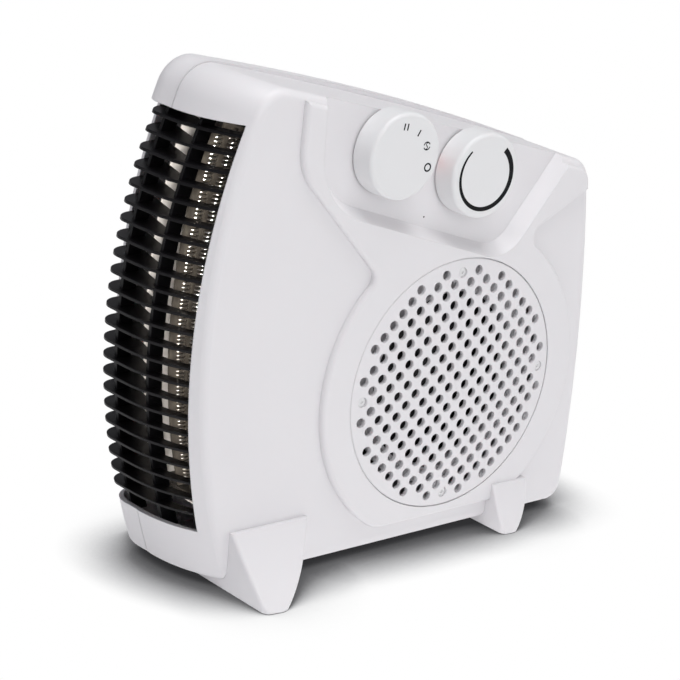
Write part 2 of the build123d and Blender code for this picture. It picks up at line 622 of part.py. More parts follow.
with BuildPart() as selector_knob:
    add(knob(selector_axis))
selector_knob.part.label = "selector_knob"
export_step(selector_knob.part, "parts/selector_knob.step")

with BuildPart() as thermostat_knob:
    add(knob(thermostat_axis))
thermostat_knob.part.label = "thermostat_knob"
export_step(thermostat_knob.part, "parts/thermostat_knob.step")

with BuildPart() as control_nuts:
    with BuildSketch(side_plane(RECESS_X)):
        with Locations(selector_axis, thermostat_axis):
            RegularPolygon(NECK_RADIUS + 2.4, 6)
            Circle(NECK_RADIUS + 0.06, mode=Mode.SUBTRACT)
    extrude(amount=2.2)
control_nuts.part.label = "control_nuts"
export_step(control_nuts.part, "parts/control_nuts.step")

with BuildPart() as pilot_lens:
    with BuildSketch(side_plane(RECESS_X - WALL - 1.2, LAMP_Y, LAMP_Z)):
        Circle(LAMP_RADIUS + 1.4)
    extrude(amount=1.1)
    with BuildSketch(side_plane(RECESS_X - WALL - 0.2, LAMP_Y, LAMP_Z)):
        Circle(LAMP_RADIUS)
    extrude(amount=WALL + 1.6)
    fillet(pilot_lens.edges().sort_by(Axis.X)[-1], 1.2)
pilot_lens.part.label = "pilot_lens"
export_step(pilot_lens.part, "parts/pilot_lens.step")

with BuildPart() as pilot_lamp:
    with BuildSketch(side_plane(RECESS_X - WALL - 14, LAMP_Y, LAMP_Z)):
        Circle(LAMP_RADIUS - 0.6)
    extrude(amount=12.4)
    fillet(pilot_lamp.edges().sort_by(Axis.X)[-1], 1.5)
pilot_lamp.part.label = "pilot_lamp"
export_step(pilot_lamp.part, "parts/pilot_lamp.step")


# ---------------------------------------------------------------- blower
def scroll_region(inset=0.0):
    """Side outline of the scroll and its outlet duct. The front stays put when the rest is inset."""
    sweep = 450 - SCROLL_START_ANGLE
    steps = 9
    spiral = []
    for step in range(steps + 1):
        angle = radians(SCROLL_START_ANGLE + sweep * step / steps)
        radius = SCROLL_START_RADIUS + SCROLL_GROWTH * step / steps - inset
        spiral.append((INTAKE_Y + radius * cos(angle), INTAKE_Z + radius * sin(angle)))
    with BuildSketch() as region:
        with BuildLine():
            Spline(*spiral)
            Polyline(
                spiral[-1],
                (-14 - inset, 144 - inset),
                (DUCT_FRONT_Y, SHIELD_TOP - 3 - inset),
                (DUCT_FRONT_Y, SHIELD_BOTTOM + 3 + inset),
                spiral[0],
            )
        make_face()
    return region.sketch


with BuildPart() as scroll_housing:
    with BuildSketch(side_plane(SCROLL_FAR_X)):
        add(scroll_region())
        with Locations((INTAKE_Y, INTAKE_Z)):
            Circle(BUSH_RADIUS + 0.5, mode=Mode.SUBTRACT)
        with Locations(*[(INTAKE_Y + y, INTAKE_Z) for y, _ in MOTOR_SCREWS]):
            Circle(SCREW_RADIUS + 0.1, mode=Mode.SUBTRACT)
    extrude(amount=SCROLL_WALL)
    with BuildSketch(side_plane(SCROLL_FAR_X + SCROLL_WALL)):
        add(scroll_region())
        add(scroll_region(SCROLL_WALL), mode=Mode.SUBTRACT)
    extrude(amount=SCROLL_NEAR_X - SCROLL_WALL - 0.1 - SCROLL_FAR_X - SCROLL_WALL)
scroll_housing.part.label = "scroll_housing"
export_step(scroll_housing.part, "parts/scroll_housing.step")

with BuildPart() as inlet_plate:
    with BuildSketch(side_plane(SCROLL_NEAR_X - SCROLL_WALL)):
        add(scroll_region())
    extrude(amount=SCROLL_WALL)
    with BuildSketch(side_plane(SCROLL_NEAR_X, INTAKE_Y, INTAKE_Z)):
        Circle(INLET_RADIUS + SCROLL_WALL)
    extrude(amount=BARREL_X - WALL - SCROLL_NEAR_X - 0.1)
    with BuildSketch(side_plane(0, INTAKE_Y, INTAKE_Z)):
        Circle(INLET_RADIUS)
    extrude(amount=HALF_THICKNESS, mode=Mode.SUBTRACT)
inlet_plate.part.label = "inlet_plate"
export_step(inlet_plate.part, "parts/inlet_plate.step")

with BuildPart() as impeller:
    with BuildSketch(side_plane(SCROLL_FAR_X + SCROLL_WALL + 1.6, INTAKE_Y, INTAKE_Z)):
        Circle(WHEEL_RADIUS)
    extrude(amount=1.4)
    with BuildSketch(side_plane(SCROLL_FAR_X + SCROLL_WALL + 1.6, INTAKE_Y, INTAKE_Z)):
        Circle(7)
    extrude(amount=14, taper=4)
    with BuildSketch(side_plane(SCROLL_FAR_X + SCROLL_WALL + 2, INTAKE_Y, INTAKE_Z)):
        with BuildLine(mode=Mode.PRIVATE) as blade:
            ThreePointArc((WHEEL_RADIUS - 8, 0), (WHEEL_RADIUS - 3.4, 2.2), (WHEEL_RADIUS - 0.9, 7.5))
        with PolarLocations(0, BLADE_COUNT):
            SlotArc(blade.edge(), 1.0)
    extrude(amount=WHEEL_WIDTH - 1)
    with BuildSketch(side_plane(SCROLL_FAR_X + SCROLL_WALL + WHEEL_WIDTH, INTAKE_Y, INTAKE_Z)):
        Circle(WHEEL_RADIUS)
        Circle(WHEEL_RADIUS - 4, mode=Mode.SUBTRACT)
    extrude(amount=1.4)
    with BuildSketch(side_plane(SCROLL_FAR_X, INTAKE_Y, INTAKE_Z)):
        Circle(SHAFT_CORE + 0.02)
    extrude(amount=40, mode=Mode.SUBTRACT)
impeller.part.label = "impeller"
export_step(impeller.part, "parts/impeller.step")

with BuildPart() as motor_shaft:
    with BuildSketch(side_plane(MOTOR_FAR_X + 1, INTAKE_Y, INTAKE_Z)):
        Circle(SHAFT_CORE)
    extrude(amount=39)
    chamfer(motor_shaft.edges().sort_by(Axis.X)[-1], 0.4)
motor_shaft.part.label = "motor_shaft"
export_step(motor_shaft.part, "parts/motor_shaft.step")

with BuildPart() as motor_rotor:
    with BuildSketch(side_plane(STACK_FAR_X, INTAKE_Y, INTAKE_Z)):
        Circle(ROTOR_RADIUS)
        Circle(SHAFT_CORE + 0.02, mode=Mode.SUBTRACT)
    extrude(amount=STACK_NEAR_X - STACK_FAR_X)
motor_rotor.part.label = "motor_rotor"
export_step(motor_rotor.part, "parts/motor_rotor.step")

with BuildPart() as motor_stator:
    with BuildSketch(side_plane(STACK_FAR_X, INTAKE_Y, INTAKE_Z)):
        with Locations((0, STATOR_CENTRE)):
            RectangleRounded(STATOR_WIDTH, STATOR_HEIGHT, 2)
        with Locations((0, WINDOW_CENTRE)):
            Rectangle(WINDOW_WIDTH, WINDOW_HEIGHT, mode=Mode.SUBTRACT)
        Circle(STATOR_BORE, mode=Mode.SUBTRACT)
        with Locations(*MOTOR_SCREWS):
            Circle(SCREW_RADIUS + 0.1, mode=Mode.SUBTRACT)
    extrude(amount=STACK_NEAR_X - STACK_FAR_X)
motor_stator.part.label = "motor_stator"
export_step(motor_stator.part, "parts/motor_stator.step")

with BuildPart() as motor_coil:
    with BuildSketch(Plane.XZ.offset(-INTAKE_Y - COIL_WIDTH / 2)):
        with Locations(((STACK_NEAR_X + STACK_FAR_X) / 2, INTAKE_Z + LIMB_CENTRE)):
            RectangleRounded(STACK_NEAR_X - STACK_FAR_X + 7.4, LIMB_HEIGHT + 18, 3)
            Rectangle(STACK_NEAR_X - STACK_FAR_X + 0.4, LIMB_HEIGHT + 0.4, mode=Mode.SUBTRACT)
    extrude(amount=COIL_WIDTH)
motor_coil.part.label = "motor_coil"
export_step(motor_coil.part, "parts/motor_coil.step")

with BuildPart() as motor_brackets:
    for plate_x, toward in ((STACK_NEAR_X, 1), (STACK_FAR_X, -1)):
        with BuildSketch(side_plane(plate_x + toward * BRACKET_LIFT, INTAKE_Y, INTAKE_Z)):
            SlotCenterToCenter(2 * MOTOR_SCREW_OFFSET, 9)
            Circle(8.5)
            Circle(BUSH_RADIUS + 0.02, mode=Mode.SUBTRACT)
            with Locations(*MOTOR_SCREWS):
                Circle(SCREW_RADIUS + 0.1, mode=Mode.SUBTRACT)
        extrude(amount=toward * BRACKET_THICKNESS)
        with BuildSketch(side_plane(plate_x, INTAKE_Y, INTAKE_Z)):
            with Locations(*MOTOR_SCREWS):
                Circle(3.2)
                Circle(SCREW_RADIUS + 0.1, mode=Mode.SUBTRACT)
        extrude(amount=toward * BRACKET_LIFT)
motor_brackets.part.label = "motor_brackets"
export_step(motor_brackets.part, "parts/motor_brackets.step")

with BuildPart() as motor_bushes:
    for plate_x, toward in ((STACK_NEAR_X, 1), (STACK_FAR_X, -1)):
        with BuildSketch(side_plane(plate_x + toward * (BRACKET_LIFT - 0.8), INTAKE_Y, INTAKE_Z)):
            Circle(BUSH_RADIUS)
            Circle(SHAFT_CORE + RUNNING_CLEARANCE, mode=Mode.SUBTRACT)
        extrude(amount=toward * (BRACKET_THICKNESS + 0.8))
motor_bushes.part.label = "motor_bushes"
export_step(motor_bushes.part, "parts/motor_bushes.step")

motor_screw = screw_body(26.0, radius=SCREW_RADIUS, head_radius=2.8, head_height=1.6)
with BuildPart() as motor_screws:
    with Locations(side_plane(SCROLL_FAR_X + SCROLL_WALL, INTAKE_Y, INTAKE_Z)):
        with Locations(*MOTOR_SCREWS):
            add(motor_screw)
motor_screws.part.label = "motor_screws"
export_step(motor_screws.part, "parts/motor_screws.step")


# ---------------------------------------------------------------- heating element
def behind_front(x, width, radius, back_y, bottom, top):
    """A block whose front follows a radius about the nose axis, with a flat back, bottom and top."""
    with BuildPart() as block:
        with BuildSketch(NOSE_PLANE):
            with Locations((x, 0)):
                Rectangle(width, radius, align=(Align.CENTER, Align.MIN))
        revolve(axis=NOSE_AXIS, revolution_arc=360)
        with BuildSketch(side_plane(x - width)):
            with Locations((back_y, bottom)):
                Rectangle(100, top - bottom, align=(Align.MAX, Align.MIN))
        extrude(amount=2 * width, mode=Mode.INTERSECT)
    return block.part


shield_width = SHIELD_NEAR_X - SHIELD_FAR_X
shield_x = (SHIELD_NEAR_X + SHIELD_FAR_X) / 2
with BuildPart() as heat_shield:
    add(behind_front(shield_x, shield_width, SHIELD_FRONT_RADIUS, SHIELD_BACK_Y, SHIELD_BOTTOM, SHIELD_TOP))
    with BuildSketch(Plane(origin=(shield_x, -30, SHIELD_BOTTOM), x_dir=(1, 0, 0), z_dir=(0, -1, 0))):
        with Locations((0, SHIELD_WALL)):
            Rectangle(
                shield_width - 2 * SHIELD_WALL,
                SHIELD_TOP - SHIELD_BOTTOM - 2 * SHIELD_WALL,
                align=(Align.CENTER, Align.MIN),
            )
    extrude(amount=100, mode=Mode.SUBTRACT)
heat_shield.part.label = "heat_shield"
export_step(heat_shield.part, "parts/heat_shield.step")

element_bottom = SHIELD_BOTTOM + SHIELD_WALL + 2
element_top = SHIELD_TOP - SHIELD_WALL - 2
board_span = shield_width - 2 * SHIELD_WALL
strip_back_y = STRIP_Y + BOARD / 2
with BuildPart() as element_frame:
    for level in (element_bottom, element_top - BOARD):
        add(behind_front(shield_x, board_span, CARD_FRONT_RADIUS + 3, strip_back_y, level, level + BOARD))
    for card_x in CARD_XS:
        add(behind_front(card_x, BOARD, CARD_FRONT_RADIUS, CARD_BACK_Y, element_bottom, element_top))
    with Locations((STRIP_X, STRIP_Y, (element_bottom + element_top) / 2)):
        Box(STRIP_WIDTH, BOARD, element_top - element_bottom)
element_frame.part.label = "element_frame"
export_step(element_frame.part, "parts/element_frame.step")


def winding_path(card_x):
    """Corner points of the wire wound around one upright board, from its bottom to its top."""
    span = element_top - element_bottom - 2 * BOARD - 8
    side = BOARD / 2 + COIL_WIRE / 2 + 0.3
    points = []
    for turn in range(COIL_TURNS):
        for number, (direction, at_front) in enumerate(((1, False), (1, True), (-1, True), (-1, False))):
            z = element_bottom + BOARD + 4 + span * (turn + number / 4) / COIL_TURNS
            y = nose_y(CARD_FRONT_RADIUS, z) - 1.2 if at_front else CARD_BACK_Y + 1.2
            points.append((card_x + direction * side, y, z))
    return points


with BuildPart() as heating_coils:
    for card_x in CARD_XS:
        path_points = winding_path(card_x)
        with BuildLine(mode=Mode.PRIVATE) as winding:
            Polyline(*path_points)
        with BuildSketch(Plane(origin=path_points[0], z_dir=winding.line @ 0.001 - winding.line @ 0)):
            Rectangle(COIL_WIRE, COIL_WIRE)
        sweep(path=winding.line, transition=Transition.RIGHT)
heating_coils.part.label = "heating_coils"
export_step(heating_coils.part, "parts/heating_coils.step")

with BuildPart() as thermal_cutout:
    with BuildSketch(Plane(origin=(STRIP_X, strip_back_y, CUTOUT_Z), x_dir=(1, 0, 0), z_dir=(0, 1, 0))):
        Circle(7)
    extrude(amount=3.5)
    with BuildSketch(Plane(origin=(STRIP_X, strip_back_y + 3.5, CUTOUT_Z), x_dir=(1, 0, 0), z_dir=(0, 1, 0))):
        Circle(5)
    extrude(amount=1.5)
thermal_cutout.part.label = "thermal_cutout"
export_step(thermal_cutout.part, "parts/thermal_cutout.step")

with BuildPart() as thermal_fuse:
    with BuildSketch(side_plane(STRIP_X - 4.5, strip_back_y + 2.1, FUSE_Z)):
        Circle(2)
    extrude(amount=9)
    with BuildSketch(side_plane(STRIP_X - 7.5, strip_back_y + 2.1, FUSE_Z)):
        Circle(0.5)
    extrude(amount=15)
thermal_fuse.part.label = "thermal_fuse"
export_step(thermal_fuse.part, "parts/thermal_fuse.step")

# ---------------------------------------------------------------- mains entry
with BuildPart() as cable_grommet:
    with BuildSketch(side_plane(-HALF_THICKNESS - 2.0, CABLE_Y, CABLE_Z)):
        Circle(GROMMET_RADIUS + 2.5)
    extrude(amount=2.0)
    fillet(cable_grommet.edges().sort_by(Axis.X)[0], 0.8)
    with BuildSketch(side_plane(-HALF_THICKNESS, CABLE_Y, CABLE_Z)):
        Circle(GROMMET_RADIUS - 0.05)
    extrude(amount=WALL + 1.5)
    with BuildSketch(side_plane(-HALF_THICKNESS - 12, CABLE_Y, CABLE_Z)):
        Circle(CABLE_RADIUS + 1.8)
    extrude(amount=12, taper=-4)
    with BuildSketch(side_plane(-HALF_THICKNESS - 20, CABLE_Y, CABLE_Z)):
        Circle(CABLE_RADIUS + 0.05)
    extrude(amount=40, mode=Mode.SUBTRACT)
cable_grommet.part.label = "cable_grommet"
export_step(cable_grommet.part, "parts/cable_grommet.step")

with BuildPart() as mains_cable:
    with BuildLine() as cable_path:
        Line((-20, CABLE_Y, CABLE_Z), (-HALF_THICKNESS - 15.4, CABLE_Y, CABLE_Z))
        JernArc((-HALF_THICKNESS - 15.4, CABLE_Y, CABLE_Z), (-1, 0, 0), 12, 50)
    with BuildSketch(Plane(origin=(-20, CABLE_Y, CABLE_Z), z_dir=(-1, 0, 0))):
        Circle(CABLE_RADIUS)
    sweep(path=cable_path.line)
mains_cable.part.label = "mains_cable"
export_step(mains_cable.part, "parts/mains_cable.step")

with BuildPart() as cord_clamp:
    with BuildSketch(side_plane(-28.5, CABLE_Y, CABLE_Z)):
        with Locations((0, 1.5)):
            Rectangle(20, 13)
        Circle(CABLE_RADIUS + 0.05, mode=Mode.SUBTRACT)
    extrude(amount=6)
cord_clamp.part.label = "cord_clamp"
export_step(cord_clamp.part, "parts/cord_clamp.step")

with BuildPart() as terminal_block:
    with BuildSketch(side_plane(WALL - HALF_THICKNESS + 0.1, CABLE_Y - 5, CABLE_Z + 22)):
        Rectangle(14, 26)
    extrude(amount=12)
    with BuildSketch(side_plane(WALL - HALF_THICKNESS + 12.1, CABLE_Y - 5, CABLE_Z + 22)):
        with GridLocations(7, 8, 2, 3):
            Circle(2.2)
    extrude(amount=-6, mode=Mode.SUBTRACT)
terminal_block.part.label = "terminal_block"
export_step(terminal_block.part, "parts/terminal_block.step")


# ---------------------------------------------------------------- feet
with BuildPart() as control_outer:
    add(control_form)
    fillet(control_outer.faces().sort_by(Axis.X)[-1].edges(), CONTROL_EDGE)
    add(plateau.part)


def foot(tooth, tips, tops, rounding):
    """One foot: a bar on the floor under both shells, flaring up into a rounded tooth on either side.

    tips and tops are the (far, near) x of the outer faces, on the floor and at the top.
    """
    floor_front, top_front, top_rear, on_curve, floor_rear = tooth
    height = top_front[1]
    with BuildPart() as body:
        with BuildSketch(side_plane(tips[0])):
            with BuildLine():
                Polyline(floor_rear, floor_front, top_front, top_rear)
                ThreePointArc(top_rear, on_curve, floor_rear)
            make_face()
        extrude(amount=tips[1] - tips[0])
        with BuildSketch(Plane(origin=(0, 130, 0), x_dir=(1, 0, 0), z_dir=(0, -1, 0))):
            with BuildLine():
                Line((tips[0], 0), (tips[1], 0))
                for tip, top in zip(tips, tops):
                    ThreePointArc((tip, 0), (top + 0.46 * (tip - top), 0.5 * height), (top, height))
                Line((tops[1], height), (tops[0], height))
            make_face()
        extrude(amount=260, mode=Mode.INTERSECT)
        with BuildSketch() as plan:
            with BuildLine():
                Polyline(
                    (tips[0], floor_front[0]),
                    (tips[1], floor_front[0]),
                    (tips[1], floor_rear[0]),
                    (tips[1] - 0.3 * (tips[1] - tops[1]), top_rear[0]),
                    (tips[0] - 0.3 * (tips[0] - tops[0]), top_rear[0]),
                    (tips[0], floor_rear[0]),
                    close=True,
                )
            make_face()
            corners = plan.vertices().group_by(Axis.X)
            fillet(corners[0] + corners[-1], rounding)
        extrude(amount=height, mode=Mode.INTERSECT)
        flare_edges = body.edges().filter_by(lambda e: abs(e.center().X) > HALF_THICKNESS - 1)
        fillet(flare_edges.filter_by(lambda e: 1 < e.center().Z < 0.8 * height), FOOT_EDGE)
        add(control_outer.part, mode=Mode.SUBTRACT)
        add(back_form, mode=Mode.SUBTRACT)
    return body.part


def with_screw_holes(front_y, part):
    """The foot with its screw holes, countersunk from the floor side."""
    with BuildPart() as drilled:
        add(part)
        with BuildSketch(Plane.XY):
            with Locations((CONTROL_FOOT_SCREW_X, front_y), (BACK_FOOT_SCREW_X, front_y)):
                Circle(SCREW_RADIUS + 0.2)
        extrude(amount=20, mode=Mode.SUBTRACT)
        with BuildSketch(Plane.XY):
            with Locations((CONTROL_FOOT_SCREW_X, front_y), (BACK_FOOT_SCREW_X, front_y)):
                Circle(3.4)
        extrude(amount=FOOT_HEAD_DEPTH, mode=Mode.SUBTRACT)
    return drilled.part


with BuildPart() as front_foot:
    add(with_screw_holes(FOOT_SCREW_YS[0], foot(FRONT_TOOTH, (-46.0, 60.0), (-34.6, 32.6), 5)))
front_foot.part.label = "front_foot"
export_step(front_foot.part, "parts/front_foot.step")

with BuildPart() as rear_foot:
    add(with_screw_holes(FOOT_SCREW_YS[1], foot(REAR_TOOTH, (-44.5, 44.5), (-34.8, 34.3), 3.5)))
rear_foot.part.label = "rear_foot"
export_step(rear_foot.part, "parts/rear_foot.step")

foot_screw = screw_body(FOOT_SCREW_LENGTH)
with BuildPart() as foot_screws:
    with Locations(
        *[
            Plane(origin=(x, y, FOOT_HEAD_DEPTH), x_dir=(1, 0, 0), z_dir=(0, 0, -1))
            for x in (CONTROL_FOOT_SCREW_X, BACK_FOOT_SCREW_X)
            for y in FOOT_SCREW_YS
        ]
    ):
        add(foot_screw)
foot_screws.part.label = "foot_screws"
export_step(foot_screws.part, "parts/foot_screws.step")
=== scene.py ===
"""Looks of the upright fan heater: materials, dial marks, element wires, slats, studio and camera."""
import json
import math

import bmesh
import bpy
from mathutils import Matrix, Vector


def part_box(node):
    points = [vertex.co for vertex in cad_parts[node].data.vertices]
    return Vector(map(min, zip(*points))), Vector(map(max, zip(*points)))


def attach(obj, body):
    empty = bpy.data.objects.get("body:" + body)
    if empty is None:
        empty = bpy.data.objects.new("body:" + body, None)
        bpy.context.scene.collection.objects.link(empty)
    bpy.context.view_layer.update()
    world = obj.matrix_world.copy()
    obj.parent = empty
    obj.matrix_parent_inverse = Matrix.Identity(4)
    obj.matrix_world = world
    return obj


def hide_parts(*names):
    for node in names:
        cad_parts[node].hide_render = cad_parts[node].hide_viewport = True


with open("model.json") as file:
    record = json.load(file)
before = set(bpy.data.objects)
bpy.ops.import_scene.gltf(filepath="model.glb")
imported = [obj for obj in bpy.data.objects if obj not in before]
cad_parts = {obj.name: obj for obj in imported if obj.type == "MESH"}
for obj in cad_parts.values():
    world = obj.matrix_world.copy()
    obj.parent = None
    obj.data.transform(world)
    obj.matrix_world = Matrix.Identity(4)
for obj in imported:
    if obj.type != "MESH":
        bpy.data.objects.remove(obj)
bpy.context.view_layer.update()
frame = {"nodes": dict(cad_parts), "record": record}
MM = 0.001
# The floor's shadow is a painted shadow; this is how far it reaches from the heater.
PAINTED_SHADOW_REACH = 34 * MM    # how far the heater darkens the floor
LAMP_GLOW = 0.25


# ---------------------------------------------------------------- node helpers
class Surface:
    """A material whose nodes are added one call at a time."""

    def __init__(self, name, **settings):
        self.material = bpy.data.materials.new(name)
        self.material.use_nodes = True
        self.nodes = self.material.node_tree.nodes
        self.links = self.material.node_tree.links
        self.shader = self.nodes["Principled BSDF"]
        self.place = self.add("ShaderNodeTexCoord").outputs["Object"]
        for socket, value in settings.items():
            self.shader.inputs[socket.replace("_", " ")].default_value = value

    def add(self, kind, **properties):
        node = self.nodes.new(kind)
        for name, value in properties.items():
            setattr(node, name, value)
        return node

    def stretched(self, scale):
        """Object coordinates scaled differently along each axis."""
        mapping = self.add("ShaderNodeMapping")
        mapping.inputs["Scale"].default_value = scale
        self.links.new(self.place, mapping.inputs["Vector"])
        return mapping.outputs["Vector"]

    def noise(self, scale, detail=3.0, roughness=0.5, vector=None):
        node = self.add("ShaderNodeTexNoise")
        node.inputs["Scale"].default_value = scale
        node.inputs["Detail"].default_value = detail
        node.inputs["Roughness"].default_value = roughness
        self.links.new(vector or self.place, node.inputs["Vector"])
        return node.outputs["Fac"]

    def cells(self, scale, vector=None):
        node = self.add("ShaderNodeTexVoronoi")
        node.inputs["Scale"].default_value = scale
        self.links.new(vector or self.place, node.inputs["Vector"])
        return node.outputs["Distance"]

    def ramp(self, value, *stops):
        """A colour ramp from (position, colour) stops."""
        node = self.add("ShaderNodeValToRGB")
        elements = node.color_ramp.elements
        while len(elements) < len(stops):
            elements.new(0.5)
        for element, (position, colour) in zip(elements, stops):
            element.position = position
            element.color = (*colour, 1)
        self.links.new(value, node.inputs["Fac"])
        return node.outputs["Color"]

    def between(self, value, low, high):
        """Maps 0..1 to low..high."""
        node = self.add("ShaderNodeMapRange")
        node.inputs["To Min"].default_value = low
        node.inputs["To Max"].default_value = high
        self.links.new(value, node.inputs["Value"])
        return node.outputs["Result"]

    def mixed(self, factor, first, second):
        """A colour between two colours, or between a socket's colour and a colour."""
        node = self.add("ShaderNodeMix", data_type="RGBA")
        for key, given in (("Factor", factor), ("A", first), ("B", second)):
            socket = [s for s in node.inputs if s.name == key and s.enabled][0]
            if isinstance(given, bpy.types.NodeSocket):
                self.links.new(given, socket)
            elif isinstance(given, tuple):
                socket.default_value = (*given, 1)
            else:
                socket.default_value = given
        return [s for s in node.outputs if s.enabled][0]

    def into(self, socket, value):
        self.links.new(value, self.shader.inputs[socket])

    def relief(self, *layers, edge=0.0):
        """Bump layers of (height, distance in metres), over edges rounded by a small radius."""
        normal = None
        if edge:
            bevel = self.add("ShaderNodeBevel", samples=4)
            bevel.inputs["Radius"].default_value = edge
            normal = bevel.outputs["Normal"]
        for height, distance in layers:
            bump = self.add("ShaderNodeBump")
            bump.inputs["Distance"].default_value = distance
            bump.inputs["Strength"].default_value = 1.0
            self.links.new(height, bump.inputs["Height"])
            if normal:
                self.links.new(normal, bump.inputs["Normal"])
            normal = bump.outputs["Normal"]
        self.links.new(normal, self.shader.inputs["Normal"])


# ---------------------------------------------------------------- materials
# Light goes about a millimetre into the pale plastics, and slightly further in red.
PALE_PLASTIC = {
    "Subsurface_Weight": 0.08,
    "Subsurface_Radius": (0.004, 0.003, 0.003),
    "Subsurface_Scale": 0.3,
}
GLOSS_SPREAD = 0.07
WAVE_DEPTH = 0.4 * MM


def moulded_plastic(name, colour, shade, roughness, grain, grain_depth, edge=0.0004, **settings):
    """Injection-moulded plastic: fine eroded grain, slow waviness, uneven colour and gloss."""
    surface = Surface(name, **settings)
    slow = surface.noise(14, detail=2)
    surface.into("Base Color", surface.mixed(slow, colour, shade))
    patches = surface.noise(55, detail=4)
    surface.into("Roughness", surface.between(patches, roughness - GLOSS_SPREAD, roughness + GLOSS_SPREAD))
    fine = surface.noise(grain, detail=2, roughness=0.7)
    wave = surface.noise(22, detail=1)
    surface.relief((wave, WAVE_DEPTH), (fine, grain_depth), edge=edge)
    return surface.material


def casing_material():
    return moulded_plastic(
        "casing_abs", (0.80, 0.785, 0.80), (0.765, 0.75, 0.77), 0.42, 2600, 0.000018,
        edge=0.0006, **PALE_PLASTIC,
    )


def knob_material():
    return moulded_plastic(
        "knob_abs", (0.80, 0.80, 0.805), (0.775, 0.775, 0.785), 0.36, 3600, 0.000008,
        edge=0.0005, **PALE_PLASTIC,
    )


def rivet_material():
    return moulded_plastic(
        "rivet_nylon", (0.83, 0.83, 0.83), (0.79, 0.79, 0.8), 0.45, 2800, 0.00001, edge=0.0002,
    )


def grille_material():
    return moulded_plastic(
        "grille_pp", (0.004, 0.004, 0.005), (0.008, 0.007, 0.008), 0.4, 2200, 0.000014,
        edge=0.0004, Specular_IOR_Level=0.2,
    )


def duct_material():
    return moulded_plastic("duct_pbt", (0.035, 0.034, 0.033), (0.055, 0.052, 0.05), 0.5, 1800, 0.00002)


def wheel_material():
    return moulded_plastic("wheel_pa", (0.022, 0.022, 0.024), (0.035, 0.034, 0.034), 0.44, 1700, 0.00002)


def switch_material():
    return moulded_plastic("switch_phenolic", (0.05, 0.035, 0.028), (0.09, 0.062, 0.046), 0.5, 1500, 0.00002)


def terminal_material():
    return moulded_plastic("terminal_nylon", (0.62, 0.6, 0.54), (0.7, 0.68, 0.62), 0.45, 1500, 0.00002)


def cable_material():
    return moulded_plastic("cable_pvc", (0.72, 0.72, 0.73), (0.66, 0.66, 0.68), 0.52, 1300, 0.00003)


def shield_material():
    """Heat-dulled galvanised sheet with long rolling marks and pale spangle."""
    surface = Surface("shield_zinc", Metallic=0.25)
    spangle = surface.cells(260)
    rolling = surface.noise(60, detail=5, vector=surface.stretched((1, 1, 12)))
    sheet = surface.ramp(spangle, (0.1, (0.66, 0.61, 0.56)), (0.8, (0.78, 0.73, 0.67)))
    surface.into("Base Color", surface.mixed(rolling, sheet, (0.70, 0.64, 0.58)))
    surface.into("Roughness", surface.between(rolling, 0.38, 0.62))
    surface.relief((rolling, 0.00006), (spangle, 0.00003), edge=0.0002)
    return surface.material


def mica_material():
    """Brown-grey mica board: layered flakes that catch the light a little."""
    surface = Surface("mica_board", Specular_IOR_Level=0.45)
    flakes = surface.cells(520, vector=surface.stretched((0.5, 1, 0.35)))
    layers = surface.noise(130, detail=6)
    tone = surface.ramp(
        flakes, (0.0, (0.030, 0.025, 0.020)), (0.55, (0.055, 0.046, 0.036)), (1.0, (0.10, 0.085, 0.06)),
    )
    surface.into("Base Color", surface.mixed(layers, tone, (0.04, 0.033, 0.026)))
    surface.into("Roughness", surface.between(flakes, 0.35, 0.65))
    surface.relief((layers, 0.0001), (flakes, 0.00005))
    return surface.material


def metal(name, colour, tarnish, rough, grain_scale, stretch=(1, 1, 1)):
    """Bare metal with directional machining marks and patches of tarnish."""
    surface = Surface(name, Metallic=1.0)
    marks = surface.noise(grain_scale, detail=4, vector=surface.stretched(stretch))
    patches = surface.ramp(surface.noise(90, detail=5), (0.4, colour), (0.75, tarnish))
    surface.into("Base Color", patches)
    surface.into("Roughness", surface.between(marks, rough - 0.1, rough + 0.14))
    surface.relief((marks, 0.00003))
    return surface.material


def lamination_material():
    """Stacked sheet steel: thin dark joints between the sheets, lightly rusted."""
    surface = Surface("stator_sheets", Metallic=0.8)
    bands = surface.add("ShaderNodeTexWave", wave_type="BANDS", bands_direction="X")
    bands.inputs["Scale"].default_value = 320
    bands.inputs["Distortion"].default_value = 0.4
    surface.links.new(surface.place, bands.inputs["Vector"])
    rust = surface.noise(170, detail=6)
    steel = surface.ramp(bands.outputs["Fac"], (0.0, (0.10, 0.10, 0.10)), (0.35, (0.33, 0.33, 0.34)))
    surface.into("Base Color", surface.mixed(surface.between(rust, -0.4, 0.8), steel, (0.22, 0.12, 0.07)))
    surface.into("Roughness", surface.between(rust, 0.3, 0.7))
    surface.relief((bands.outputs["Fac"], 0.00012))
    return surface.material


def winding_material():
    """Enamelled copper laid in rows under a varnish, with painted shade in the grooves between the rows."""
    surface = Surface("motor_winding", Metallic=0.6, Coat_Weight=0.6, Coat_Roughness=0.2)
    rows = surface.add("ShaderNodeTexWave", wave_type="BANDS", bands_direction="Y")
    rows.inputs["Scale"].default_value = 600
    rows.inputs["Distortion"].default_value = 1.2
    surface.links.new(surface.place, rows.inputs["Vector"])
    # Painted shade: the copper is coloured dark between the rows and bright along them.
    copper = surface.ramp(rows.outputs["Fac"], (0.0, (0.16, 0.045, 0.015)), (1.0, (0.55, 0.2, 0.08)))
    surface.into("Base Color", copper)
    surface.into("Roughness", surface.between(surface.noise(200), 0.25, 0.5))
    surface.relief((rows.outputs["Fac"], 0.0002))
    return surface.material


def wire_material():
    """Bright resistance wire with faint heat tint."""
    surface = Surface("element_wire", Metallic=1.0)
    tint = surface.noise(160, detail=3)
    surface.into("Base Color", surface.ramp(tint, (0.35, (0.86, 0.84, 0.80)), (0.75, (0.62, 0.52, 0.42))))
    surface.into("Roughness", surface.between(tint, 0.22, 0.42))
    surface.relief((surface.noise(4000), 0.00001))
    return surface.material


